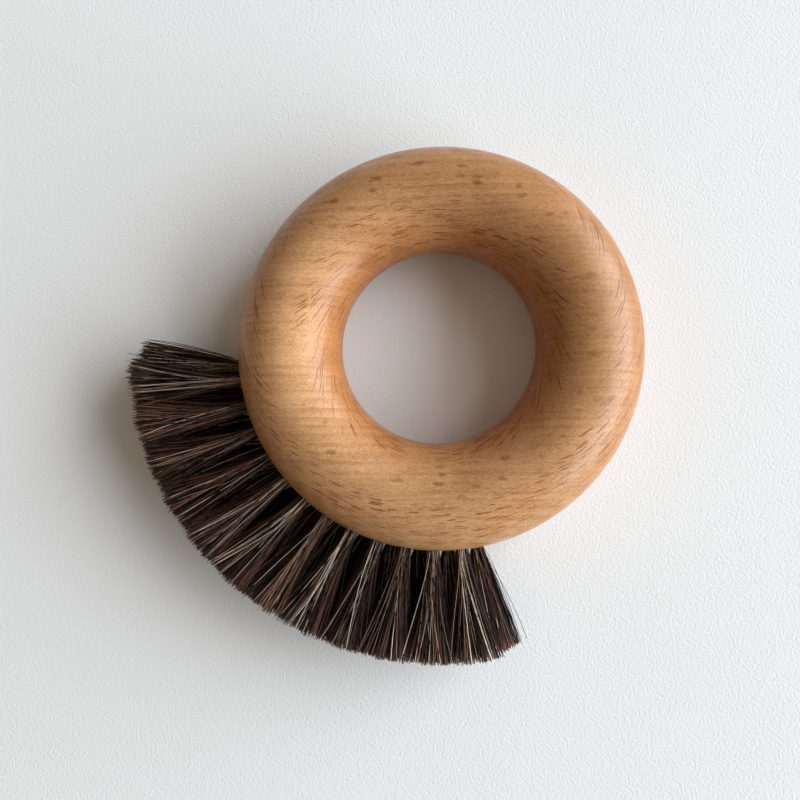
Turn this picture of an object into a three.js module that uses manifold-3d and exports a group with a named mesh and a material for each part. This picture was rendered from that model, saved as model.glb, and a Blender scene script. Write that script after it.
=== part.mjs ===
// A table brush: a turned beech ring whose rim carries two staggered rows of horsehair tufts.
// Each tuft is folded over a flat wire anchor, and the anchor holds it in a blind drilled hole.
// Millimetres and degrees. +Z is up, the ring lies flat, and the bristles point along -Y.

import * as THREE from 'three';
import { mergeGeometries, mergeVertices } from 'three/addons/utils/BufferGeometryUtils.js';
import Module from 'manifold-3d';

// Ring
const RING_OUTER_DIAMETER = 105;
const SECTION_DIAMETER = 27.3; // thickness of the round section
const REST_FLAT_WIDTH = 3; // narrow sanded flat under the ring, so that it lies still
const RING_SEGMENTS = 72;
const SECTION_SEGMENTS = 24;

// Holes and tufts
const UPPER_TUFTS = 12; // the lower row has one more, because the rows are staggered
const HOLE_ARC_DEG = 95.4; // between the first and the last hole of the lower row
const TIP_ARC_DEG = 107; // swept by the bristle tips
const ROW_SPACING = 4; // between the rows, at the hole mouths
const ROW_SPLAY_DEG = 2; // tilt of each row away from the middle plane
const HOLE_DIAMETER = 3.4;
const HOLE_DEPTH = 11;
const HOLE_SIDES = 10;
const FIT_CLEARANCE = 0.3; // between a tuft or an anchor and the wood, and between the two
const BRISTLE_DIRECTION_DEG = -90; // middle of the arc, about Z from +X

// Bristles
const BRISTLE_LENGTH = 28; // from the rim to the trimmed tips
const HAIR_THICKNESS = 16; // across both rows, at the tips
const END_TRIM = 2.5; // how much shorter the hair is at the two ends of the arc
const END_TRIM_ARC_DEG = 6; // over which it shortens
const STRANDS_PER_TUFT = 12;
const STRAND_SIDES = 3;
const STRAND_RADIUS = 0.25;
const STRAND_STEPS = 2;
const STRAND_BEND = 0.45; // share of its length that a strand runs before it turns outwards
const STRAND_GAP = 0.5; // between the outermost strands of neighbouring tufts, at the tips
const TUFT_STANDOUT = 0.8; // bound root that shows outside the hole
const STRAND_ROOT = 0.5; // length of a strand inside the bound root
const TUFT_SIDES = 7;

// Anchors
const ANCHOR_THICKNESS = 0.4;
const ANCHOR_HEIGHT = 1.8; // along the hole
const ANCHOR_BITE = 0.5; // how far each end cuts into the wall of the hole
const ANCHOR_END_SLANT = 0.3; // slant of its cut ends
const FOLD_THICKNESS = 1; // hair that passes round the inner edge of the anchor

// Worked out from the sizes above
const SECTION_RADIUS = SECTION_DIAMETER / 2;
const RING_OUTER_RADIUS = RING_OUTER_DIAMETER / 2;
const SECTION_CENTRE_RADIUS = RING_OUTER_RADIUS - SECTION_RADIUS;
const MIDDLE_HEIGHT = Math.sqrt(SECTION_RADIUS ** 2 - (REST_FLAT_WIDTH / 2) ** 2);
const TIP_RADIUS = RING_OUTER_RADIUS + BRISTLE_LENGTH;
const RING_OFFSET = (TIP_RADIUS - RING_OUTER_RADIUS) / 2; // centres the brush on its footprint
const ROW_HEIGHT = ROW_SPACING / 2;
const MOUTH_RADIUS = SECTION_CENTRE_RADIUS + Math.sqrt(SECTION_RADIUS ** 2 - ROW_HEIGHT ** 2);
const TUFTS = 2 * UPPER_TUFTS + 1;
const HOLE_PITCH = HOLE_ARC_DEG / (TUFTS - 1);
const TIP_PITCH = TIP_ARC_DEG / (TUFTS + 1);
const TUFT_RADIUS = HOLE_DIAMETER / 2 - FIT_CLEARANCE;
const ANCHOR_LENGTH = HOLE_DIAMETER + 2 * ANCHOR_BITE;
const ANCHOR_INNER_EDGE = FIT_CLEARANCE + FOLD_THICKNESS - HOLE_DEPTH + FIT_CLEARANCE;
const GOLDEN_ANGLE = Math.PI * (3 - Math.sqrt(5));

const wasm = await Module();
wasm.setup();

const radians = THREE.MathUtils.degToRad;
const degrees = THREE.MathUtils.radToDeg;

// Solids and geometries

function solidOf(geometry, matrix = new THREE.Matrix4()) {
  const bare = geometry.clone().applyMatrix4(matrix);
  bare.deleteAttribute('normal');
  bare.deleteAttribute('uv');
  const merged = mergeVertices(bare);
  return new wasm.Manifold(
    new wasm.Mesh({
      numProp: 3,
      vertProperties: merged.attributes.position.array,
      triVerts: new Uint32Array(merged.index.array),
    }),
  );
}

function geometryOf(solid) {
  const { vertProperties, triVerts } = solid.getMesh();
  const shared = new THREE.BufferGeometry();
  shared.setAttribute('position', new THREE.BufferAttribute(vertProperties, 3));
  shared.setIndex(new THREE.BufferAttribute(triVerts, 1));
  const faceted = shared.toNonIndexed();
  faceted.computeVertexNormals();
  return faceted;
}

// A solid of revolution about X, from points of (radius, place along X).
function turnedAboutX(profile, sides) {
  return new THREE.LatheGeometry(profile, sides).rotateZ(-Math.PI / 2);
}

// Holes: each has a frame at its mouth, with X along the hole and out of it, Y along the rim and Z up

function holeSites() {
  return Array.from({ length: TUFTS }, (_, place) => {
    const step = place - UPPER_TUFTS; // 0 at the middle of the arc
    const upper = place % 2 === 1;
    return {
      row: upper ? 'upper' : 'lower',
      number: String(Math.floor(place / 2) + 1).padStart(2, '0'),
      side: upper ? 1 : -1,
      angle: step * HOLE_PITCH,
      lean: step * (TIP_PITCH - HOLE_PITCH),
      mirror: step < 0 ? -1 : 1,
    };
  });
}

function mouthFrame(site) {
  const spoke = new THREE.Group();
  spoke.rotation.z = radians(BRISTLE_DIRECTION_DEG + site.angle);
  const mouth = new THREE.Group();
  mouth.position.set(MOUTH_RADIUS, 0, site.side * ROW_HEIGHT);
  mouth.rotation.y = -site.side * radians(ROW_SPLAY_DEG);
  spoke.add(mouth);
  return { spoke, mouth };
}

function mouthMatrix(site) {
  const { spoke, mouth } = mouthFrame(site);
  spoke.updateMatrixWorld(true);
  return mouth.matrixWorld;
}

function holeBit() {
  const overrun = HOLE_DIAMETER; // carries the bit out through the curved rim
  return turnedAboutX(
    [
      new THREE.Vector2(0, -HOLE_DEPTH),
      new THREE.Vector2(HOLE_DIAMETER / 2, -HOLE_DEPTH),
      new THREE.Vector2(HOLE_DIAMETER / 2, overrun),
      new THREE.Vector2(0, overrun),
    ],
    HOLE_SIDES,
  );
}

// Anchor: a flat strip across the hole, with slanted ends that bite into the wood

function anchorStrip(spare) {
  const inner = ANCHOR_INNER_EDGE - spare;
  const outer = ANCHOR_INNER_EDGE + ANCHOR_HEIGHT + spare;
  const halfLength = ANCHOR_LENGTH / 2 + spare;
  const outline = new THREE.Shape([
    new THREE.Vector2(inner, -halfLength),
    new THREE.Vector2(outer, -halfLength + ANCHOR_END_SLANT),
    new THREE.Vector2(outer, halfLength - ANCHOR_END_SLANT),
    new THREE.Vector2(inner, halfLength),
  ]);
  const depth = ANCHOR_THICKNESS + 2 * spare;
  return new THREE.ExtrudeGeometry(outline, { depth, bevelEnabled: false })
    .translate(0, 0, -depth / 2)
    .rotateX(Math.PI / 2);
}

// Ring: a round section with a narrow flat below, turned about Z and drilled

function ringSolid() {
  const halfFlat = Math.asin(REST_FLAT_WIDTH / SECTION_DIAMETER);
  const sweep = 2 * (Math.PI - halfFlat);
  const profile = Array.from({ length: SECTION_SEGMENTS + 1 }, (_, i) => {
    const angle = halfFlat - Math.PI / 2 + (i / SECTION_SEGMENTS) * sweep;
    return new THREE.Vector2(
      SECTION_CENTRE_RADIUS + SECTION_RADIUS * Math.cos(angle),
      SECTION_RADIUS * Math.sin(angle),
    );
  });
  profile.push(profile[0].clone());
  const turned = new THREE.LatheGeometry(profile, RING_SEGMENTS).rotateX(Math.PI / 2);
  return holeSites().reduce((ring, site) => {
    const frame = mouthMatrix(site);
    return ring.subtract(solidOf(holeBit(), frame)).subtract(solidOf(anchorStrip(FIT_CLEARANCE), frame));
  }, solidOf(turned));
}

// Tuft: a bound root folded round the anchor, with strands that spread from it to the trimmed arc

function boundRoot() {
  const foldEnd = FIT_CLEARANCE - HOLE_DEPTH;
  return turnedAboutX(
    [
      new THREE.Vector2(0, foldEnd),
      new THREE.Vector2(TUFT_RADIUS - FOLD_THICKNESS / 2, foldEnd),
      new THREE.Vector2(TUFT_RADIUS, foldEnd + FOLD_THICKNESS / 2),
      new THREE.Vector2(TUFT_RADIUS, TUFT_STANDOUT),
      new THREE.Vector2(0, TUFT_STANDOUT),
    ],
    TUFT_SIDES,
  );
}

function strandSection() {
  const corners = Array.from({ length: STRAND_SIDES }, (_, i) => {
    const angle = (i / STRAND_SIDES) * 2 * Math.PI;
    return new THREE.Vector2(STRAND_RADIUS * Math.cos(angle), STRAND_RADIUS * Math.sin(angle));
  });
  return new THREE.Shape(corners);
}

function trimRadius(fromMiddle) {
  const tipEnd = TIP_ARC_DEG / 2;
  const shortened = THREE.MathUtils.smoothstep(Math.abs(fromMiddle), tipEnd - END_TRIM_ARC_DEG, tipEnd);
  return TIP_RADIUS - END_TRIM * shortened;
}

// The strands keep their places in the tuft as they spread, so none crosses another.
function strandCurves(site) {
  const rootReach = TUFT_RADIUS * Math.cos(Math.PI / TUFT_SIDES) - STRAND_RADIUS;
  const halfCell = TIP_RADIUS * Math.sin(radians(TIP_PITCH)) - STRAND_RADIUS - STRAND_GAP / 2;
  const layerHeight = HAIR_THICKNESS / 4; // middle of the row's layer of hair at the tips
  const halfLayer = layerHeight - STRAND_RADIUS - STRAND_GAP / 2;
  const axisHeight = ROW_HEIGHT + BRISTLE_LENGTH * Math.tan(radians(ROW_SPLAY_DEG));
  const tipRise = site.side * (layerHeight - axisHeight);
  const tipShift = TIP_RADIUS * Math.sin(radians(site.lean));
  return Array.from({ length: STRANDS_PER_TUFT }, (_, i) => {
    const reach = Math.sqrt((i + 1) / STRANDS_PER_TUFT);
    const across = site.mirror * reach * Math.cos(i * GOLDEN_ANGLE);
    const up = reach * Math.sin(i * GOLDEN_ANGLE);
    const tipAcross = tipShift + halfCell * across;
    const tipAngle = site.angle + degrees(Math.asin(tipAcross / TIP_RADIUS));
    const trimmed = Math.sqrt(trimRadius(tipAngle) ** 2 - tipAcross ** 2) - MOUTH_RADIUS;
    const tipLength = trimmed / Math.cos(radians(ROW_SPLAY_DEG));
    const tip = new THREE.Vector3(tipLength, tipAcross, tipRise + halfLayer * up);
    const root = new THREE.Vector3(TUFT_STANDOUT - STRAND_ROOT, rootReach * across, rootReach * up);
    const bend = new THREE.Vector3(STRAND_BEND * tip.x, root.y, root.z);
    return new THREE.QuadraticBezierCurve3(root, bend, tip);
  });
}

function tuftSolid(site) {
  const section = strandSection();
  const strands = strandCurves(site).map(
    (extrudePath) =>
      new THREE.ExtrudeGeometry(section, { steps: STRAND_STEPS, extrudePath, bevelEnabled: false }),
  );
  return solidOf(boundRoot())
    .subtract(solidOf(anchorStrip(FIT_CLEARANCE)))
    .add(solidOf(mergeGeometries(strands)));
}

// Assembly

const beech = new THREE.MeshStandardMaterial({ color: 0xc6976a, roughness: 0.5 });
const horsehair = new THREE.MeshStandardMaterial({ color: 0x2a211d, roughness: 0.6 });
const galvanisedSteel = new THREE.MeshStandardMaterial({ color: 0xb2b4b5, roughness: 0.4, metalness: 1 });

function piece(name, geometry, material) {
  const mesh = new THREE.Mesh(geometry, material);
  mesh.name = name;
  return mesh;
}

const brush = new THREE.Group();
brush.position.set(0, RING_OFFSET, MIDDLE_HEIGHT);
brush.add(piece('ring_handle', geometryOf(ringSolid()), beech));
for (const site of holeSites()) {
  const { spoke, mouth } = mouthFrame(site);
  mouth.add(piece(`tuft_${site.row}_${site.number}`, geometryOf(tuftSolid(site)), horsehair));
  mouth.add(piece(`anchor_${site.row}_${site.number}`, anchorStrip(0), galvanisedSteel));
  brush.add(spoke);
}

const tableBrush = new THREE.Group();
tableBrush.add(brush);

export default tableBrush;
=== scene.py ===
"""Table brush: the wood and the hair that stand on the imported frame, laid out as an add-on."""

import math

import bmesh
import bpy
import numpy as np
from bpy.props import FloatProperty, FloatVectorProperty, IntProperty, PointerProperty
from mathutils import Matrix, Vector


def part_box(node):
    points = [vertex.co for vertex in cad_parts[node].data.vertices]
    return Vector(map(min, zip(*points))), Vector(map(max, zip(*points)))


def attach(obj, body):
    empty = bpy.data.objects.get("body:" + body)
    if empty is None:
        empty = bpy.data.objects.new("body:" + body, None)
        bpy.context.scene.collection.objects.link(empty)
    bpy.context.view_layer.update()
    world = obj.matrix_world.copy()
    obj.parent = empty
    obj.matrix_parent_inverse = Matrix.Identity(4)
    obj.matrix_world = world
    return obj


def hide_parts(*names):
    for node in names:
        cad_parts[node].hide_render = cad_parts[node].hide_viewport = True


bl_info = {
    "name": "Table Brush",
    "version": (1, 0, 0),
    "blender": (4, 5, 0),
    "location": "3D View > Sidebar > Table Brush",
    "description": "A turned beech ring with a fan of horsehair tufts set in its rim",
    "category": "Add Mesh",
}

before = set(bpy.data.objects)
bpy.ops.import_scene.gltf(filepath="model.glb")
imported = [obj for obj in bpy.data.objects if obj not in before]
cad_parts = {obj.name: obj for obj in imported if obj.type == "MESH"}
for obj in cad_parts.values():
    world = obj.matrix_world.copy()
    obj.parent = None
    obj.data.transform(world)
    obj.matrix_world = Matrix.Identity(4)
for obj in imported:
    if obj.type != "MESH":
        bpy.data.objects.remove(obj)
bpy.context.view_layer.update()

MM = 0.001
BODY = "root"

# The ring as the frame gives it: its box is the outer diameter wide and the section high.
RING_LOW, RING_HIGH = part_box("ring_handle")
RING_CENTRE = (RING_LOW + RING_HIGH) / 2
RING_OUTER_RADIUS = (RING_HIGH.x - RING_LOW.x) / 2
RING_THICKNESS = RING_HIGH.z - RING_LOW.z
TUFT_NODES = {
    row: sorted(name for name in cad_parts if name.startswith(f"tuft_{row}_"))
    for row in ("upper", "lower")
}
ANCHOR_NODES = sorted(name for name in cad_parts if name.startswith("anchor_"))

# The frame's bristles point along -Y. In the photograph they point to the lower left, and the
# grain of the wood runs level there.
PHOTO_TURN = math.radians(37.0)


def linear(hex_colour):
    """An sRGB hex colour as linear red, green, blue and alpha."""
    channels = [int(hex_colour[i : i + 2], 16) / 255 for i in (1, 3, 5)]
    return (*[c / 12.92 if c <= 0.04045 else ((c + 0.055) / 1.055) ** 2.4 for c in channels], 1.0)


def length(name, description, millimetres):
    """A property for a length, given in millimetres and kept in metres."""
    return FloatProperty(
        name=name,
        description=description,
        default=millimetres * MM,
        min=0.0,
        precision=5,
        subtype="DISTANCE",
        unit="LENGTH",
    )


def angle(name, description, degrees):
    """A property for an angle, given in degrees and kept in radians."""
    return FloatProperty(
        name=name,
        description=description,
        default=math.radians(degrees),
        subtype="ANGLE",
        unit="ROTATION",
    )


def colour(name, description, hex_colour):
    """A property for a colour."""
    return FloatVectorProperty(
        name=name,
        description=description,
        default=linear(hex_colour),
        size=4,
        min=0.0,
        max=1.0,
        subtype="COLOR",
    )


def number(name, description, default, lowest):
    """A property for a count."""
    return IntProperty(name=name, description=description, default=default, min=lowest)


def strength(name, description, default):
    """A property for the strength of a light."""
    return FloatProperty(name=name, description=description, default=default, min=0.0)


# Settings


class RingSettings(bpy.types.PropertyGroup):
    """The turned ring and its wood"""

    rest_flat: length("Rest Flat", "Width of the sanded flat under the ring", 3.0)
    hole_diameter: length("Hole Diameter", "Diameter of each drilled hole", 3.4)
    hole_depth: length("Hole Depth", "Depth of each drilled hole", 11.0)
    segments: number("Segments", "Faces round the ring", 288, 24)
    section_segments: number("Section Segments", "Faces round the section", 96, 12)
    earlywood: colour("Earlywood", "Pale wood of the early season", "#dfad7e")
    latewood: colour("Latewood", "Darker wood at the end of each year", "#b58253")
    ray: colour("Rays", "Flecks where the rays are cut", "#864a1b")
    heart: colour("Heart", "Tint of the board at the end nearer the heart of the tree", "#ccc0b2")
    end_grain: colour("End Grain", "Tint where the fibres are cut across", "#f4ebe3")
    # Painted shade: a darker, warmer tint over the wall of the hole, where it lies in shade.
    painted_hole_shade: colour("Painted_Hole_Shade", "Tint of the wall of the hole", "#efdbc2")
    year_width: length("Year Width", "Distance between year rings", 2.2)
    ray_tilt: angle("Ray Tilt", "Tilt of the rays from level", 17.0)
    ray_height: length("Ray Height", "Room for one ray along the fibres", 5.0)
    ray_depth: length("Ray Depth", "Room for one ray across the year rings", 16.0)
    ray_spacing: length("Ray Spacing", "Room for one ray along the year rings", 0.28)
    flake_size: length("Flake Size", "Room for one flake on a surface along the rays", 5.2)


class HairSettings(bpy.types.PropertyGroup):
    """The rows of tufts and their horsehair"""

    hole_arc: angle("Hole Arc", "Between the first and the last hole", 95.4)
    tip_arc: angle("Tip Arc", "Swept by the bristle tips", 107.0)
    row_spacing: length("Row Spacing", "Between the two rows at the hole mouths", 4.0)
    row_splay: angle("Row Splay", "Tilt of each row away from the middle plane", 2.0)
    free_length: length("Free Length", "From the rim to the trimmed tips", 28.0)
    thickness: length("Thickness", "Across both rows at the tips", 16.0)
    sweep: angle("Sweep", "How far use has brushed the tips to one side", -1.5)
    end_trim: length("End Trim", "How much shorter the hair is at the ends of the arc", 0.7)
    end_trim_arc: angle("End Trim Arc", "Over which it shortens", 5.0)
    trim_skew: length("Trim Skew", "Drop of the trim from mid arc to its second end", 0.8)
    hair_diameter: length("Hair Diameter", "Thickness of one hair", 0.18)
    folded_hairs: number("Hairs", "Folded hairs in a tuft", 220, 2)
    locks: number("Locks", "Locks that the hairs of a tuft gather in", 16, 1)
    anchor_depth: length("Anchor Depth", "Inner edge of the anchor, below the hole mouth", 9.4)
    straying: length("Straying", "How far tips wander from an even fan", 0.7)
    raggedness: length("Raggedness", "Unevenness of the trimmed edge", 0.3)
    black: colour("Black Hair", "The darkest hairs", "#0d0908")
    brown: colour("Brown Hair", "Dark brown hairs", "#38261e")
    russet: colour("Russet Hair", "Reddish brown hairs", "#674336")
    taupe: colour("Taupe Hair", "Greyish brown hairs", "#8c7261")
    pale: colour("Pale Hair", "The few pale hairs", "#dccbb8")


class StageSettings(bpy.types.PropertyGroup):
    """The floor, the light and the camera"""

    floor: colour("Floor", "Colour of the table", "#f2f3f4")
    floor_shade: colour("Floor Shade", "Its slightly darker clouds", "#eff0f1")
    daylight: colour("Daylight", "Colour of the light from the window", "#eff8ff")
    room: colour("Room", "Colour of the light from all round", "#ffe9cd")
    camera_height: length("Camera Height", "Above the ring's middle plane", 215.0)
    field_of_view: angle("Field of View", "Across the square picture", 51.3)
    window_distance: length("Window Distance", "From the ring to the window", 2400.0)
    window_width: length("Window Width", "Width of the low and the middle pane", 4800.0)
    low_height: length("Low Height", "Height of the low pane", 580.0)
    pane_height: length("Pane Height", "Height of the middle pane and of the upper one", 1600.0)
    low_power: strength("Low Power", "Watts of the low pane", 83.0)
    middle_power: strength("Middle Power", "Watts of the middle pane", 151.0)
    upper_power: strength("Upper Power", "Watts of the upper pane, which is half as wide", 42.0)
    room_light: strength("Room Light", "Strength of the light from all round", 0.24)


# Nodes and meshes


def add_node(tree, kind, inputs=None, **settings):
    """Adds a node with its settings, and sets or links its inputs."""
    made = tree.nodes.new(kind)
    for name, value in settings.items():
        setattr(made, name, value)
    for socket, value in (inputs or {}).items():
        if isinstance(value, bpy.types.NodeSocket):
            tree.links.new(value, made.inputs[socket])
        else:
            made.inputs[socket].default_value = value
    return made


def new_material(name):
    """An empty node material and its tree."""
    material = bpy.data.materials.new(name)
    material.use_nodes = True
    material.node_tree.nodes.clear()
    return material, material.node_tree


def add_object(name, mesh, material):
    """Links a mesh to the scene as an object of one material."""
    mesh.materials.append(material)
    made = bpy.data.objects.new(name, mesh)
    bpy.context.scene.collection.objects.link(made)
    return made


def mesh_from(name, vertices, faces):
    """A mesh from an array of points and a list of faces."""
    mesh = bpy.data.meshes.new(name)
    mesh.from_pydata(vertices.tolist(), [], faces)
    mesh.update()
    return mesh


# Wood

# The pattern is measured in millimetres. Fibres wander slowly, years change their width, year
# lines come and go, and the edges of rays are ragged, each over its own length.
WANDER_LENGTH = 22
WANDER_REACH = (0.0, 1.4, 1.2)
YEAR_CHANGE_LENGTH = 7
YEAR_LINE_LENGTH = 11
RAGGED_LENGTH = 1.6
RAGGED_REACH = (1.2, 1.2, 0.1)

# The darker line takes the end of a year from this share of it on. It comes up between these two
# values of a noise, and is drawn this strongly.
LATE_START = 0.4
LATE_LIMITS = (0.42, 0.68)
LATE_STRENGTH = 0.4

# Layers of the tone: the room for one mark along, across and up the year rings, the detail and
# the weight. They are fine bands, vessels drawn wide enough to show, the specks that sanding
# leaves, and clouds. Sums of all layers between the two limits run from earlywood to latewood.
TONE_LAYERS = {
    "bands": ((40.0, 0.9, 12.0), 3.0, 1.0),
    "vessels": ((1.4, 0.25, 0.25), 2.0, 1.5),
    "specks": ((0.35, 0.35, 0.35), 1.0, 1.7),
    "clouds": ((9.0, 5.0, 5.0), 2.0, 1.0),
}
TONE_LIMITS = (2.19, 3.22)

# Sizes of a ray, as shares of its room, and the proportions of the room for a flake.
RAY_SIZES = (0.12, 0.47)
FLAKE_SHAPE = (1.0, 0.45, 0.2)

# The board darkens along this direction between these two places, and painted shade darkens the
# wall of the hole over this width.
HEART_DIRECTION = (0.89, 0.45, 0.0)
HEART_LIMITS = (-39.5, 64.5)
HOLE_SHADE_WIDTH = 8 * MM


def ripple(tree, place, size, reach):
    """Places moved to and fro by a noise."""
    noise = add_node(
        tree, "ShaderNodeTexNoise", {"Vector": place, "Scale": 1 / size, "Detail": 2.0}
    )
    offset = add_node(
        tree,
        "ShaderNodeVectorMath",
        {0: noise.outputs["Color"], 1: (0.5, 0.5, 0.5)},
        operation="SUBTRACT",
    )
    moved = add_node(
        tree,
        "ShaderNodeVectorMath",
        {0: offset.outputs["Vector"], 1: reach, 2: place},
        operation="MULTIPLY_ADD",
    )
    return moved.outputs["Vector"]


def wood_tone(tree, fibre, settings):
    """The colour of the wood between its rays, and the vessels, for the relief and the shine."""
    # Year rings: a darker line at the end of each year, strong in some places and lost in others.
    across = add_node(tree, "ShaderNodeSeparateXYZ", {0: fibre})
    uneven = add_node(
        tree,
        "ShaderNodeTexNoise",
        {"W": across.outputs["Y"], "Scale": 1 / YEAR_CHANGE_LENGTH, "Detail": 3.0},
        noise_dimensions="1D",
    )
    years = add_node(
        tree,
        "ShaderNodeMath",
        {0: across.outputs["Y"], 1: MM / settings.year_width, 2: uneven.outputs["Fac"]},
        operation="MULTIPLY_ADD",
    )
    season = add_node(tree, "ShaderNodeMath", {0: years.outputs[0]}, operation="FRACT")
    late = add_node(
        tree,
        "ShaderNodeMapRange",
        {"Value": season.outputs[0], "From Min": LATE_START, "From Max": 1.0},
        interpolation_type="SMOOTHSTEP",
    )
    patches = add_node(
        tree,
        "ShaderNodeTexNoise",
        {"Vector": fibre, "Scale": 1 / YEAR_LINE_LENGTH, "Detail": 2.0},
    )
    lost, strong = LATE_LIMITS
    patchy = add_node(
        tree,
        "ShaderNodeMapRange",
        {
            "Value": patches.outputs["Fac"],
            "From Min": lost,
            "From Max": strong,
            "To Max": LATE_STRENGTH,
        },
    )
    tone = add_node(
        tree,
        "ShaderNodeMath",
        {0: late.outputs["Result"], 1: patchy.outputs["Result"]},
        operation="MULTIPLY",
    )
    layers = {}
    for name, (room, detail, weight) in TONE_LAYERS.items():
        stretched = add_node(
            tree,
            "ShaderNodeMapping",
            {"Vector": fibre, "Scale": tuple(1 / size for size in room)},
        )
        layers[name] = add_node(
            tree,
            "ShaderNodeTexNoise",
            {"Vector": stretched.outputs["Vector"], "Scale": 1.0, "Detail": detail},
        )
        tone = add_node(
            tree,
            "ShaderNodeMath",
            {0: layers[name].outputs["Fac"], 1: weight, 2: tone.outputs[0]},
            operation="MULTIPLY_ADD",
        )
    lightest, darkest = TONE_LIMITS
    shade = add_node(
        tree,
        "ShaderNodeMapRange",
        {"Value": tone.outputs[0], "From Min": lightest, "From Max": darkest},
    )
    wood = add_node(
        tree,
        "ShaderNodeMix",
        {"Factor": shade.outputs["Result"], "A": settings.earlywood, "B": settings.latewood},
        data_type="RGBA",
    )
    return wood, layers["vessels"].outputs["Fac"]


def ray_flecks(tree, fibre, normal, settings):
    """Where rays show: they are thin blades with ragged edges, nearly level. A surface along them
    shows flakes, and any other one shows dashes."""
    tilted = add_node(
        tree,
        "ShaderNodeMapping",
        {
            "Vector": ripple(tree, fibre, RAGGED_LENGTH, RAGGED_REACH),
            "Rotation": (settings.ray_tilt, 0.0, 0.0),
        },
    )
    turn = Matrix.Rotation(PHOTO_TURN, 3, "Z") @ Matrix.Rotation(-settings.ray_tilt, 3, "X")
    facing = add_node(
        tree,
        "ShaderNodeVectorMath",
        {0: normal, 1: turn @ Vector((0, 0, 1))},
        operation="DOT_PRODUCT",
    )
    along = add_node(tree, "ShaderNodeMath", {0: facing.outputs["Value"]}, operation="ABSOLUTE")
    dash = (settings.ray_height, settings.ray_depth, settings.ray_spacing)
    flake = tuple(share * settings.flake_size for share in FLAKE_SHAPE)
    smallest, largest = RAY_SIZES
    flecks = []
    for room, softness, depth, along_none, along_full in (
        (dash, 0.06, 1.0, 0.955, 0.85),
        (flake, 0.2, 0.62, 0.92, 0.975),
    ):
        place = add_node(
            tree,
            "ShaderNodeMapping",
            {"Vector": tilted.outputs["Vector"], "Scale": tuple(MM / size for size in room)},
        )
        rays = add_node(
            tree, "ShaderNodeTexVoronoi", {"Vector": place.outputs["Vector"], "Scale": 1.0}
        )
        chance = add_node(tree, "ShaderNodeSeparateColor", {0: rays.outputs["Color"]})
        there = add_node(
            tree,
            "ShaderNodeMapRange",
            {"Value": along.outputs[0], "From Min": along_none, "From Max": along_full},
        )
        size = add_node(
            tree,
            "ShaderNodeMapRange",
            {"Value": chance.outputs["Red"], "To Min": smallest, "To Max": largest},
        )
        within = add_node(
            tree,
            "ShaderNodeMath",
            {0: size.outputs["Result"], 1: rays.outputs["Distance"]},
            operation="SUBTRACT",
        )
        dark = add_node(
            tree,
            "ShaderNodeMath",
            {0: chance.outputs["Green"], 1: depth / 2, 2: depth / 2},
            operation="MULTIPLY_ADD",
        )
        shown = add_node(
            tree,
            "ShaderNodeMath",
            {0: dark.outputs[0], 1: there.outputs["Result"]},
            operation="MULTIPLY",
        )
        fleck = add_node(
            tree,
            "ShaderNodeMapRange",
            {"Value": within.outputs[0], "From Max": softness, "To Max": shown.outputs[0]},
            interpolation_type="SMOOTHSTEP",
        )
        flecks.append(fleck.outputs["Result"])
    either = add_node(tree, "ShaderNodeMath", dict(enumerate(flecks)), operation="MAXIMUM")
    return either.outputs[0]


def stained(tree, wood, place, grain, normal, settings):
    """The wood with its slow changes of tone: the board darkens from one edge of the ring to the
    other, the end grain drinks more oil than the sides, and painted shade darkens the hole's wall."""
    slow = add_node(
        tree, "ShaderNodeVectorMath", {0: grain, 1: HEART_DIRECTION}, operation="DOT_PRODUCT"
    )
    lightest, darkest = HEART_LIMITS
    heartward = add_node(
        tree,
        "ShaderNodeMapRange",
        {"Value": slow.outputs["Value"], "From Min": lightest, "From Max": darkest},
    )
    lengthways = Matrix.Rotation(PHOTO_TURN, 3, "Z") @ Vector((1, 0, 0))
    across_end = add_node(
        tree, "ShaderNodeVectorMath", {0: normal, 1: lengthways}, operation="DOT_PRODUCT"
    )
    end_grain = add_node(
        tree, "ShaderNodeMath", {0: across_end.outputs["Value"]}, operation="ABSOLUTE"
    )
    from_axis = add_node(
        tree,
        "ShaderNodeVectorMath",
        {0: place, 1: (1.0, 1.0, 0.0), 2: (-RING_CENTRE.x, -RING_CENTRE.y, 0.0)},
        operation="MULTIPLY_ADD",
    )
    reach = add_node(
        tree, "ShaderNodeVectorMath", {0: from_axis.outputs["Vector"]}, operation="LENGTH"
    )
    # Painted shade on the wall of the hole, fading out over a band from its edge.
    wall = RING_OUTER_RADIUS - 2 * section_radius(settings)
    painted_hole_shade = add_node(
        tree,
        "ShaderNodeMapRange",
        {"Value": reach.outputs["Value"], "From Min": wall + HOLE_SHADE_WIDTH, "From Max": wall},
    )
    for amount, tint in (
        (heartward.outputs["Result"], settings.heart),
        (end_grain.outputs[0], settings.end_grain),
        (painted_hole_shade.outputs["Result"], settings.painted_hole_shade),
    ):
        wood = add_node(
            tree,
            "ShaderNodeMix",
            {"Factor": amount, "A": wood.outputs["Result"], "B": tint},
            data_type="RGBA",
            blend_type="MULTIPLY",
        )
    return wood


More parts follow.
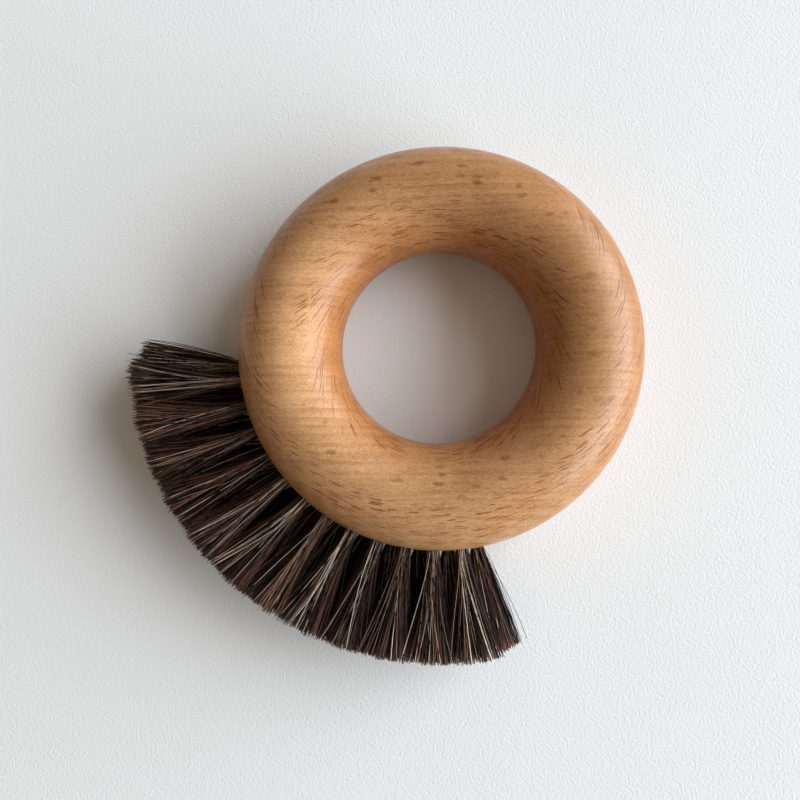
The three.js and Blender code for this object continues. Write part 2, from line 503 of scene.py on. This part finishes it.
def oiled_beech(settings):
    """Beech cut so that the year rings stand upright: they draw faint level stripes, the rays draw
    short dark flecks, and a thin coat of oil gives a satin shine."""
    material, tree = new_material("oiled_beech")
    place = add_node(tree, "ShaderNodeTexCoord").outputs["Object"]
    normal = add_node(tree, "ShaderNodeNewGeometry").outputs["Normal"]
    # In millimetres: X along the fibres, Y across the year rings, Z along them.
    straight = add_node(
        tree,
        "ShaderNodeMapping",
        {
            "Vector": place,
            "Rotation": (0.0, 0.0, -PHOTO_TURN),
            "Scale": (1 / MM, 1 / MM, 1 / MM),
        },
    )
    grain = straight.outputs["Vector"]
    fibre = ripple(tree, grain, WANDER_LENGTH, WANDER_REACH)
    wood, vessels = wood_tone(tree, fibre, settings)
    fleck = ray_flecks(tree, fibre, normal, settings)
    beech = add_node(
        tree,
        "ShaderNodeMix",
        {"Factor": fleck, "A": wood.outputs["Result"], "B": settings.ray},
        data_type="RGBA",
    )
    tinted = stained(tree, beech, place, grain, normal, settings)
    relief = add_node(
        tree, "ShaderNodeMath", {0: fleck, 1: -1.0, 2: vessels}, operation="MULTIPLY_ADD"
    )
    bump = add_node(
        tree,
        "ShaderNodeBump",
        {"Height": relief.outputs[0], "Strength": 0.2, "Distance": 0.05 * MM},
    )
    satin = add_node(
        tree, "ShaderNodeMapRange", {"Value": vessels, "To Min": 0.26, "To Max": 0.44}
    )
    surface = add_node(
        tree,
        "ShaderNodeBsdfPrincipled",
        {
            "Base Color": tinted.outputs["Result"],
            "Roughness": satin.outputs["Result"],
            "IOR": 1.47,
            "Specular IOR Level": 0.38,
            "Normal": bump.outputs["Normal"],
        },
    )
    add_node(tree, "ShaderNodeOutputMaterial", {"Surface": surface.outputs["BSDF"]})
    return material


# Other materials

# Sizes of what their surfaces show. The scales of a hair are far too fine to be seen, so they are
# drawn longer.
SCALE_LENGTH = 0.3 * MM
CRYSTAL_SIZE = 0.8 * MM
TOOTH_SIZE = 0.7 * MM
CLOUD_SIZE = 60 * MM


def trimmed_horsehair():
    """Coarse horsehair: each hair has its own colour, and a smooth scaly skin that glints."""
    material, tree = new_material("trimmed_horsehair")
    own_colour = add_node(tree, "ShaderNodeVertexColor", layer_name="hair_colour")
    place = add_node(tree, "ShaderNodeTexCoord").outputs["Object"]
    scales = add_node(
        tree, "ShaderNodeTexNoise", {"Vector": place, "Scale": 1 / SCALE_LENGTH, "Detail": 1.0}
    )
    gloss = add_node(
        tree,
        "ShaderNodeMapRange",
        {"Value": scales.outputs["Fac"], "To Min": 0.3, "To Max": 0.5},
    )
    bump = add_node(
        tree,
        "ShaderNodeBump",
        {"Height": scales.outputs["Fac"], "Strength": 0.3, "Distance": 0.02 * MM},
    )
    surface = add_node(
        tree,
        "ShaderNodeBsdfPrincipled",
        {
            "Base Color": own_colour.outputs["Color"],
            "Roughness": gloss.outputs["Result"],
            "IOR": 1.55,
            "Specular IOR Level": 0.15,
            "Normal": bump.outputs["Normal"],
        },
    )
    add_node(tree, "ShaderNodeOutputMaterial", {"Surface": surface.outputs["BSDF"]})
    return material


def galvanised_steel():
    """Flat wire with a dull zinc skin, whose crystals differ a little in shade and gloss."""
    material, tree = new_material("galvanised_steel")
    place = add_node(tree, "ShaderNodeTexCoord").outputs["Object"]
    crystals = add_node(
        tree, "ShaderNodeTexVoronoi", {"Vector": place, "Scale": 1 / CRYSTAL_SIZE}
    )
    gloss = add_node(
        tree,
        "ShaderNodeMapRange",
        {"Value": crystals.outputs["Distance"], "To Min": 0.35, "To Max": 0.5},
    )
    bump = add_node(
        tree,
        "ShaderNodeBump",
        {"Height": crystals.outputs["Distance"], "Strength": 0.3, "Distance": 0.02 * MM},
    )
    zinc = add_node(
        tree,
        "ShaderNodeMix",
        {
            "Factor": crystals.outputs["Distance"],
            "A": linear("#b9bbbc"),
            "B": linear("#9a9da0"),
        },
        data_type="RGBA",
    )
    surface = add_node(
        tree,
        "ShaderNodeBsdfPrincipled",
        {
            "Base Color": zinc.outputs["Result"],
            "Metallic": 1.0,
            "Roughness": gloss.outputs["Result"],
            "Normal": bump.outputs["Normal"],
        },
    )
    add_node(tree, "ShaderNodeOutputMaterial", {"Surface": surface.outputs["BSDF"]})
    return material


def pale_table(settings):
    """A matt table top with a pale embossed sheet: a faint tooth, and a tone not quite even."""
    material, tree = new_material("pale_table")
    place = add_node(tree, "ShaderNodeTexCoord").outputs["Object"]
    tooth = add_node(
        tree, "ShaderNodeTexNoise", {"Vector": place, "Scale": 1 / TOOTH_SIZE, "Detail": 3.0}
    )
    clouds = add_node(tree, "ShaderNodeTexNoise", {"Vector": place, "Scale": 1 / CLOUD_SIZE})
    tone = add_node(
        tree,
        "ShaderNodeMix",
        {"Factor": clouds.outputs["Fac"], "A": settings.floor, "B": settings.floor_shade},
        data_type="RGBA",
    )
    matt = add_node(
        tree,
        "ShaderNodeMapRange",
        {"Value": tooth.outputs["Fac"], "To Min": 0.7, "To Max": 0.9},
    )
    bump = add_node(
        tree,
        "ShaderNodeBump",
        {"Height": tooth.outputs["Fac"], "Strength": 0.5, "Distance": 0.25 * MM},
    )
    surface = add_node(
        tree,
        "ShaderNodeBsdfPrincipled",
        {
            "Base Color": tone.outputs["Result"],
            "Roughness": matt.outputs["Result"],
            "Specular IOR Level": 0.2,
            "Normal": bump.outputs["Normal"],
        },
    )
    add_node(tree, "ShaderNodeOutputMaterial", {"Surface": surface.outputs["BSDF"]})
    return material


# Shapes shared by the ring and the tufts

# Holes beyond this share of the arc from its middle, on either side, hold the end tufts.
INNER_SHARE = 0.45


def section_radius(ring):
    """Radius of the round section, from its height and the flat under it."""
    half_flat = ring.rest_flat / 2
    return (RING_THICKNESS**2 + half_flat**2) / (2 * RING_THICKNESS)


def middle_height(ring):
    """Height of the middle of the section above the table."""
    return RING_HIGH.z - section_radius(ring)


def mouth_radius(ring, hair):
    """Distance of the hole mouths from the axis of the ring."""
    radius = section_radius(ring)
    return RING_OUTER_RADIUS - radius + math.sqrt(radius**2 - (hair.row_spacing / 2) ** 2)


class HoleSite:
    """One drilled hole: its row, its node, its angle from the middle of the arc, how far its tuft
    leans, and the frame at its mouth."""

    def __init__(self, place, count, ring, hair):
        step = place - count // 2
        self.row = "upper" if place % 2 else "lower"
        self.node = TUFT_NODES[self.row][place // 2]
        self.side = 1 if self.row == "upper" else -1
        self.angle = step * hair.hole_arc / (count - 1)
        self.lean = step * hair.tip_arc / (count + 1) - self.angle
        self.inner = abs(self.angle) < INNER_SHARE * hair.hole_arc
        self.frame = (
            Matrix.Translation((RING_CENTRE.x, RING_CENTRE.y, middle_height(ring)))
            @ Matrix.Rotation(self.angle - math.pi / 2, 4, "Z")
            @ Matrix.Translation((mouth_radius(ring, hair), 0.0, self.side * hair.row_spacing / 2))
            @ Matrix.Rotation(-self.side * hair.row_splay, 4, "Y")
        )

    def placed(self, points):
        """Points of the hole's own frame, in the frame of the part."""
        matrix = np.array(self.frame)
        return points @ matrix[:3, :3].T + matrix[:3, 3]


def hole_sites(ring, hair):
    """The holes in order round the rim, alternating between the rows."""
    count = sum(len(nodes) for nodes in TUFT_NODES.values())
    return [HoleSite(place, count, ring, hair) for place in range(count)]


# The ring

BORE_SIDES = 24
SHARP_EDGE = math.radians(30)


def bore_shape(radius, inner, outer):
    """Points and faces of a round bar along X."""
    turns = np.linspace(0, 2 * math.pi, BORE_SIDES, endpoint=False)
    circle = np.stack([radius * np.cos(turns), radius * np.sin(turns)], 1)
    points = np.concatenate([np.insert(circle, 0, x, axis=1) for x in (inner, outer)])
    walls = []
    for i in range(BORE_SIDES):
        j = (i + 1) % BORE_SIDES
        walls.append((i, j, BORE_SIDES + j, BORE_SIDES + i))
    caps = [tuple(range(BORE_SIDES - 1, -1, -1)), tuple(range(BORE_SIDES, 2 * BORE_SIDES))]
    return points, walls + caps


def ring_mesh(ring):
    """The ring as turned, before it is drilled."""
    radius = section_radius(ring)
    half_flat = math.asin(ring.rest_flat / 2 / radius)
    angles = np.linspace(half_flat, 2 * math.pi - half_flat, ring.section_segments) - math.pi / 2
    reach = RING_OUTER_RADIUS - radius + radius * np.cos(angles)
    height = middle_height(ring) + radius * np.sin(angles)
    turns = np.linspace(0, 2 * math.pi, ring.segments, endpoint=False)
    points = np.stack(
        [
            RING_CENTRE.x + np.outer(np.cos(turns), reach),
            RING_CENTRE.y + np.outer(np.sin(turns), reach),
            np.tile(height, (ring.segments, 1)),
        ],
        2,
    ).reshape(-1, 3)
    count = ring.section_segments
    faces = [
        (
            i * count + j,
            (i + 1) % ring.segments * count + j,
            (i + 1) % ring.segments * count + (j + 1) % count,
            i * count + (j + 1) % count,
        )
        for i in range(ring.segments)
        for j in range(count)
    ]
    return mesh_from("ring_handle_wood", points, faces)


def drill_mesh(ring, hair):
    """All the holes as one cutter of straight bores, which stand out of their mouths."""
    bore, bore_faces = bore_shape(ring.hole_diameter / 2, -ring.hole_depth, ring.hole_diameter)
    points = []
    faces = []
    for place, site in enumerate(hole_sites(ring, hair)):
        points.append(site.placed(bore))
        faces += [tuple(v + place * len(bore) for v in face) for face in bore_faces]
    return mesh_from("drill", np.concatenate(points), faces)


def drilled(piece, cutter_mesh):
    """Cuts the holes out of a piece and leaves the result as its mesh."""
    cutter = bpy.data.objects.new("drill", cutter_mesh)
    bpy.context.scene.collection.objects.link(cutter)
    cut = piece.modifiers.new("holes", "BOOLEAN")
    cut.operation = "DIFFERENCE"
    cut.solver = "EXACT"
    cut.object = cutter
    evaluated = piece.evaluated_get(bpy.context.evaluated_depsgraph_get())
    result = bpy.data.meshes.new_from_object(evaluated)
    piece.modifiers.clear()
    old = piece.data
    piece.data = result
    bpy.data.meshes.remove(old)
    bpy.data.objects.remove(cutter)
    bpy.data.meshes.remove(cutter_mesh)
    result.shade_smooth()
    result.set_sharp_from_angle(angle=SHARP_EDGE)


class TABLEBRUSH_OT_ring_handle(bpy.types.Operator):
    """Builds the turned and drilled beech ring"""

    bl_idname = "tablebrush.ring_handle"
    bl_label = "Ring Handle"

    def execute(self, context):
        ring = context.scene.tablebrush_ring
        hair = context.scene.tablebrush_hair
        wood = add_object("ring_handle_wood", ring_mesh(ring), oiled_beech(ring))
        drilled(wood, drill_mesh(ring, hair))
        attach(wood, BODY)
        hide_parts("ring_handle")
        return {"FINISHED"}


# The tufts

# A hair follows its lock more than its own way, and those on top keep above this height in the fan.
OWN_SHARE = 0.3
LOCK_SHARE = 0.75
TOP_START = 0.6

# A fan is wider than the room of its tuft, and takes a little more than half of the thickness, so
# that neighbours and rows mingle at the tips.
FAN_WIDTH = 1.2
FAN_HEIGHT = 0.55

# The upper tufts open slowly, so that dark gaps stay between them. The lower ones fill the gaps
# from below.
OPENING = {"upper": 1.35, "lower": 0.8}

# Few hairs are wild: they stray further than the others and end sooner.
WILD_SHARE = 0.05
WILD_STRAYING = 3
WILD_SHORTENING = 5

# How much single hairs differ at the ends of the arc, and the waves of a hair: half turns from root
# to tip, height against straying, and how much they calm down towards the tip.
ARC_SCATTER = math.radians(0.5)
WAVE_TURNS = (0.6, 1.6)
WAVE_HEIGHT = 0.6
WAVE_CALMING = 0.5

# Points along the free part of a hair, and the clearances in the hole: to the wall, in diameters of
# a hair, from the middle of the anchor, and at the fold, where outer hairs take a wider turn.
LEG_POINTS = 9
WALL_CLEARANCE = 0.6
ANCHOR_CLEARANCE = 0.2 * MM
FOLD_WIDENING = 0.5

# Sides of a hair, its strip of the map, as shares of its room there, and the margin for its ends.
HAIR_SIDES = 3
STRIP_START = 0.15
STRIP_WIDTH = 0.7
MAP_MARGIN = 0.02

# Shares of black, brown, russet, taupe and pale hairs in tufts that show and in lower ones, where
# mostly black hair is painted shade; the first that is light, and how much tufts and hairs differ.
HAIR_SHARES = {
    "shown": (0.475, 0.25, 0.24, 0.023, 0.012),
    "painted_shade": (0.8, 0.13, 0.06, 0.006, 0.004),
}
FIRST_LIGHT = 3
SHARE_RANGE = (0.65, 1.35)
SHADE_RANGE = (0.75, 1.25)
DIAMETER_RANGE = (0.75, 1.2)
LIGHT_DIAMETER = 0.7

# The cut ends of a hair are paler: from which share of each leg on, and by how much.
PALE_START = 0.75
PALE_GAIN = 0.5
PALE_TINT = (0.03, 0.022, 0.016, 0.0)


def trim_radius(from_middle, hair):
    """Distance of the trimmed edge from the ring's axis, a little less at the ends of the arc."""
    half_arc = hair.tip_arc / 2
    share = np.clip((np.abs(from_middle) - half_arc) / hair.end_trim_arc + 1, 0, 1)
    rounding = hair.end_trim * share**2 * (3 - 2 * share)
    skew = hair.trim_skew * from_middle / half_arc
    return RING_OUTER_RADIUS + hair.free_length - rounding - skew


def root_places(side, on_top, rng):
    """Places in the half of a unit disc on one side of the anchor, evenly spread from above. The
    hairs on top lie along its upper edge."""
    across = rng.random(len(on_top))
    up = rng.uniform(-1, 1, len(on_top)) * np.sqrt(1 - across**2)
    up[on_top] = np.sqrt(1 - across[on_top] ** 2)
    return np.stack([side * across, up], 1)


def tip_places(own, on_top, locks, rng):
    """Places in a unit fan, near the locks that the hairs gather in. The locks fill the fan."""
    lock_across = (rng.permutation(locks) + rng.random(locks)) / locks * 2 - 1
    lock_up = rng.uniform(-1, 1, locks) * np.sqrt(1 - lock_across**2)
    lock = rng.integers(0, locks, len(own))
    gathered = OWN_SHARE * own + LOCK_SHARE * np.stack([lock_across, lock_up], 1)[lock]
    gathered[on_top, 1] = TOP_START + (1 - TOP_START) * np.abs(gathered[on_top, 1])
    return gathered


def hair_legs(site, side, on_top, ring, hair, rng):
    """Paths of the free hair on one side of the anchor, from the mouth to the trimmed edge."""
    count = len(on_top)
    own = root_places(side, on_top, rng)
    gathered = tip_places(own, on_top, hair.locks, rng)
    root = (ring.hole_diameter / 2 - WALL_CLEARANCE * hair.hair_diameter) * own

    tip_radius = RING_OUTER_RADIUS + hair.free_length
    half_room = math.sin(hair.tip_arc / (2 * len(TUFT_NODES["lower"])))
    half_width = FAN_WIDTH * tip_radius * half_room
    half_height = FAN_HEIGHT * hair.thickness / 2
    axis_height = hair.row_spacing / 2 + hair.free_length * math.tan(hair.row_splay)
    middle = (
        tip_radius * math.sin(site.lean + hair.sweep),
        site.side * (hair.thickness / 2 - half_height - axis_height),
    )
    tip = middle + gathered * (half_width, half_height) + rng.normal(0, hair.straying, (count, 2))
    # The end tufts have no wild hairs, and no hair leaves the arc by much.
    wild = rng.random(count) < (WILD_SHARE if site.inner else 0.0)
    tip[wild] += rng.normal(0, WILD_STRAYING * hair.straying, (wild.sum(), 2))
    last = hair.tip_arc / 2 + rng.normal(0, ARC_SCATTER, count)
    bent = site.angle - hair.sweep
    tip[:, 0] = np.clip(tip[:, 0], (-last - bent) * tip_radius, (last - bent) * tip_radius)
    short = rng.exponential(hair.raggedness, count)
    short += wild * rng.exponential(WILD_SHORTENING * hair.raggedness, count)
    edge = trim_radius(bent + tip[:, 0] / tip_radius, hair) - short
    reach = np.sqrt(edge**2 - tip[:, 0] ** 2) - mouth_radius(ring, hair)

    steps = np.linspace(0, 1, LEG_POINTS)[None, :, None]
    spread = steps ** OPENING[site.row]
    turns = rng.uniform(*WAVE_TURNS, (count, 1, 1)) * math.pi
    start = rng.uniform(0, 2 * math.pi, (count, 1, 2))
    wave = hair.straying * rng.normal(0, WAVE_HEIGHT, (count, 1, 2)) * (1 + wild[:, None, None])
    sway = wave * (np.sin(start + turns * steps) - np.sin(start)) * (1 - WAVE_CALMING * steps)
    path = np.empty((count, LEG_POINTS, 3))
    path[:, :, 0] = reach[:, None] * steps[:, :, 0]
    path[:, :, 1:] = root[:, None] * (1 - spread) + tip[:, None] * spread + sway
    return path


def folded_paths(site, on_top, ring, hair, rng):
    """Paths of whole hairs: in from one tip, round the inner edge of the anchor, and out again."""
    left = hair_legs(site, -1, on_top, ring, hair, rng)
    right = hair_legs(site, 1, on_top, ring, hair, rng)
    clear = ANCHOR_CLEARANCE + hair.hair_diameter

    def down(leg, depth):
        point = leg[:, 0].copy()
        point[:, 0] = -depth
        point[:, 1] = np.sign(point[:, 1]) * np.maximum(np.abs(point[:, 1]), clear)
        return point[:, None]

    fold = (left[:, 0] + right[:, 0]) / 2
    widening = np.abs(right[:, 0, 1]) * FOLD_WIDENING
    fold[:, 0] = -hair.anchor_depth - hair.hair_diameter - widening
    halfway = hair.anchor_depth / 2
    return np.concatenate(
        [
            left[:, ::-1],
            down(left, halfway),
            down(left, hair.anchor_depth),
            fold[:, None],
            down(right, hair.anchor_depth),
            down(right, halfway),
            right,
        ],
        1,
    )


def hair_tubes(paths, diameters):
    """Tubes along paths: their points and their faces, walls first and ends last."""
    count, steps = paths.shape[:2]
    along = np.gradient(paths, axis=1)
    along /= np.linalg.norm(along, axis=2, keepdims=True)
    first = np.cross(along, (0.0, 0.0, 1.0))
    first /= np.linalg.norm(first, axis=2, keepdims=True)
    second = np.cross(along, first)
    turns = np.arange(HAIR_SIDES) * 2 * math.pi / HAIR_SIDES
    outward = first[:, :, None] * np.cos(turns)[:, None]
    outward += second[:, :, None] * np.sin(turns)[:, None]
    points = paths[:, :, None] + outward * diameters[:, None, None, None] / 2

    index = np.arange(count * steps * HAIR_SIDES).reshape(count, steps, HAIR_SIDES)
    after = np.roll(index, -1, axis=2)
    walls = np.stack([index[:, :-1], after[:, :-1], after[:, 1:], index[:, 1:]], 3).reshape(-1, 4)
    ends = np.concatenate([index[:, 0, ::-1], index[:, -1]])
    return points.reshape(-1, 3), walls.tolist() + ends.tolist()


def hair_map(count, steps):
    """Places on the map for the corners of the faces of tubes, a strip for each hair."""
    across = np.arange(HAIR_SIDES + 1) / HAIR_SIDES * (STRIP_WIDTH / count)
    u = (np.arange(count)[:, None] + STRIP_START) / count + across
    v = np.linspace(MAP_MARGIN, 1 - MAP_MARGIN, steps)
    walls = np.empty((count, steps - 1, HAIR_SIDES, 4, 2))
    walls[..., 0, 0] = walls[..., 3, 0] = u[:, None, :-1]
    walls[..., 1, 0] = walls[..., 2, 0] = u[:, None, 1:]
    walls[..., 0, 1] = walls[..., 1, 1] = v[None, :-1, None]
    walls[..., 2, 1] = walls[..., 3, 1] = v[None, 1:, None]
    ends = np.empty((2, count, HAIR_SIDES, 2))
    ends[..., 0] = u[None, :, :-1]
    ends[0, ..., 1] = (0.0, MAP_MARGIN, MAP_MARGIN / 2)
    ends[1, ..., 1] = (1 - MAP_MARGIN, 1.0, 1 - MAP_MARGIN / 2)
    return np.concatenate([walls.reshape(-1, 2), ends.reshape(-1, 2)])


def hair_colours(shares, hair, rng):
    """A colour for each hair, with a lean of its own for each tuft, and which hairs are light."""
    shades = np.array([hair.black, hair.brown, hair.russet, hair.taupe, hair.pale])
    shares = np.array(shares) * rng.uniform(*SHARE_RANGE, len(shades))
    kinds = rng.choice(len(shades), hair.folded_hairs, p=shares / shares.sum())
    chosen = shades[kinds]
    chosen[:, :3] *= rng.uniform(*SHADE_RANGE, (len(kinds), 1))
    return np.clip(chosen, 0, 1), kinds >= FIRST_LIGHT


def tuft_mesh(site, ring, hair, rng):
    """One tuft as a mesh of folded hairs, each with its colour and its place on the map."""
    # The lower tufts between the ends get mostly black hair, as painted shade under the upper row.
    painted_shade = site.row == "lower" and site.inner
    per_hair, light = hair_colours(HAIR_SHARES["painted_shade" if painted_shade else "shown"], hair, rng)
    # The light hairs are finer, and they lie on top.
    paths = folded_paths(site, light, ring, hair, rng)
    fineness = np.where(light, LIGHT_DIAMETER, 1.0)
    diameters = hair.hair_diameter * rng.uniform(*DIAMETER_RANGE, len(paths)) * fineness
    points, faces = hair_tubes(paths, diameters)
    mesh = mesh_from(f"{site.node}_hair", site.placed(points), faces)

    along = np.abs(np.linspace(-1, 1, paths.shape[1]))
    worn = np.clip((along - PALE_START) / (1 - PALE_START), 0, 1)[None, :, None] ** 2
    per_step = per_hair[:, None] * (1 + PALE_GAIN * worn) + np.array(PALE_TINT) * worn
    per_point = np.repeat(np.clip(per_step, 0, 1).reshape(-1, 4), HAIR_SIDES, axis=0)
    colours = mesh.color_attributes.new("hair_colour", "FLOAT_COLOR", "POINT")
    colours.data.foreach_set("color", per_point.astype(np.float32).ravel())
    unwrapped = mesh.uv_layers.new(name="OFBake")
    flat_map = hair_map(*paths.shape[:2])
    unwrapped.uv.foreach_set("vector", flat_map.astype(np.float32).ravel())
    mesh.shade_smooth()
    return mesh


class TABLEBRUSH_OT_tufts(bpy.types.Operator):
    """Builds the tufts of folded horsehair, one to a hole"""

    bl_idname = "tablebrush.tufts"
    bl_label = "Tufts"

    def execute(self, context):
        ring = context.scene.tablebrush_ring
        hair = context.scene.tablebrush_hair
        horsehair = trimmed_horsehair()
        for seed, site in enumerate(hole_sites(ring, hair)):
            rng = np.random.default_rng(seed)
            tuft = add_object(f"{site.node}_hair", tuft_mesh(site, ring, hair, rng), horsehair)
            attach(tuft, BODY)
            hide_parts(site.node)
        return {"FINISHED"}


# The anchors


class TABLEBRUSH_OT_anchors(bpy.types.Operator):
    """Gives the wire anchors of the frame their zinc finish"""

    bl_idname = "tablebrush.anchors"
    bl_label = "Anchors"

    def execute(self, context):
        zinc = galvanised_steel()
        for name in ANCHOR_NODES:
            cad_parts[name].data.materials.clear()
            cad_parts[name].data.materials.append(zinc)
        return {"FINISHED"}


# Stage

# Where the camera stands and what it looks at, to the right and up in the photograph from the
# ring's centre.
CAMERA_PLACE = (10.7 * MM, -30.4 * MM)
CAMERA_TARGET = (-9.8 * MM, -13.8 * MM)
NEAREST_SEEN = 1 * MM

# How far the table reaches, in metres, and how high above it the window starts.
TABLE_REACH = 4.0
WINDOW_SILL = 20 * MM


def from_photo(right, up, height):
    """A place given by the photograph's axes from the ring's centre, in the frame's axes."""
    turned = Matrix.Rotation(PHOTO_TURN, 3, "Z") @ Vector((right, up, 0.0))
    return Vector((RING_CENTRE.x, RING_CENTRE.y, 0.0)) + turned + Vector((0.0, 0.0, height))


def looking(location, target, up):
    """A matrix at a place, looking along its -Z to a target."""
    back = (location - target).normalized()
    right = up.cross(back).normalized()
    axes = Matrix((right, back.cross(right), back)).transposed()
    return Matrix.Translation(location) @ axes.to_4x4()


def add_floor(settings):
    """A wide table top."""
    mesh = bpy.data.meshes.new("table_top")
    builder = bmesh.new()
    bmesh.ops.create_grid(builder, x_segments=1, y_segments=1, size=TABLE_REACH)
    builder.to_mesh(mesh)
    builder.free()
    add_object("table_top", mesh, pale_table(settings))


def add_camera(settings, ring):
    """The camera over the brush, a little to the right of the ring's centre and below it."""
    middle = middle_height(ring)
    lens = bpy.data.cameras.new("camera")
    lens.sensor_fit = "HORIZONTAL"
    lens.angle = settings.field_of_view
    lens.clip_start = NEAREST_SEEN
    camera = bpy.data.objects.new("camera", lens)
    bpy.context.scene.collection.objects.link(camera)
    location = from_photo(*CAMERA_PLACE, middle + settings.camera_height)
    target = from_photo(*CAMERA_TARGET, middle)
    upwards = from_photo(0.0, 1.0, 0.0) - from_photo(0.0, 0.0, 0.0)
    camera.matrix_world = looking(location, target, upwards)
    bpy.context.scene.camera = camera


def add_lamp(name, width, height, power, light_colour, matrix):
    """A rectangular area light."""
    light = bpy.data.lights.new(name, "AREA")
    light.shape = "RECTANGLE"
    light.size = width
    light.size_y = height
    light.energy = power
    light.color = light_colour[:3]
    lamp = bpy.data.objects.new(name, light)
    bpy.context.scene.collection.objects.link(lamp)
    lamp.matrix_world = matrix


def add_light(settings):
    """A wide window on the photograph's right, and even light from the room. The window has a
    bright low pane, a middle one, and a dim upper one over the half near the photograph's top."""
    width = settings.window_width
    height = settings.pane_height
    bottom = WINDOW_SILL
    for name, along, size, power in (
        ("low_pane", 0.0, (width, settings.low_height), settings.low_power),
        ("middle_pane", 0.0, (width, height), settings.middle_power),
        ("upper_pane", width / 4, (width / 2, height), settings.upper_power),
    ):
        middle = bottom + size[1] / 2
        location = from_photo(settings.window_distance, along, middle)
        facing = looking(location, from_photo(0.0, along, middle), Vector((0.0, 0.0, 1.0)))
        add_lamp(name, *size, power, settings.daylight, facing)
        bottom += size[1]
    world = bpy.data.worlds.new("room")
    world.use_nodes = True
    background = world.node_tree.nodes["Background"]
    background.inputs["Color"].default_value = settings.room
    background.inputs["Strength"].default_value = settings.room_light
    bpy.context.scene.world = world


class TABLEBRUSH_OT_stage(bpy.types.Operator):
    """Sets out the table, the light and the camera"""

    bl_idname = "tablebrush.stage"
    bl_label = "Stage"

    def execute(self, context):
        settings = context.scene.tablebrush_stage
        add_floor(settings)
        add_light(settings)
        add_camera(settings, context.scene.tablebrush_ring)
        context.scene.view_settings.view_transform = "Standard"
        return {"FINISHED"}


# Add-on


class TABLEBRUSH_PT_panel(bpy.types.Panel):
    """Lists the pieces and their settings"""

    bl_idname = "TABLEBRUSH_PT_panel"
    bl_label = "Table Brush"
    bl_space_type = "VIEW_3D"
    bl_region_type = "UI"
    bl_category = "Table Brush"

    def draw(self, context):
        for operator in OPERATORS:
            self.layout.operator(operator.bl_idname)
        for name, group in SETTINGS.items():
            box = self.layout.box()
            for setting in group.__annotations__:
                box.prop(getattr(context.scene, name), setting)


SETTINGS = {
    "tablebrush_ring": RingSettings,
    "tablebrush_hair": HairSettings,
    "tablebrush_stage": StageSettings,
}
OPERATORS = (
    TABLEBRUSH_OT_ring_handle,
    TABLEBRUSH_OT_tufts,
    TABLEBRUSH_OT_anchors,
    TABLEBRUSH_OT_stage,
)
CLASSES = (*SETTINGS.values(), *OPERATORS, TABLEBRUSH_PT_panel)


def register():
    for made in CLASSES:
        bpy.utils.register_class(made)
    for name, group in SETTINGS.items():
        setattr(bpy.types.Scene, name, PointerProperty(type=group))


def unregister():
    for name in SETTINGS:
        delattr(bpy.types.Scene, name)
    for made in reversed(CLASSES):
        bpy.utils.unregister_class(made)


def main():
    register()
    bpy.ops.tablebrush.ring_handle()
    bpy.ops.tablebrush.tufts()
    bpy.ops.tablebrush.anchors()
    bpy.ops.tablebrush.stage()


if __name__ == "__main__":
    main()
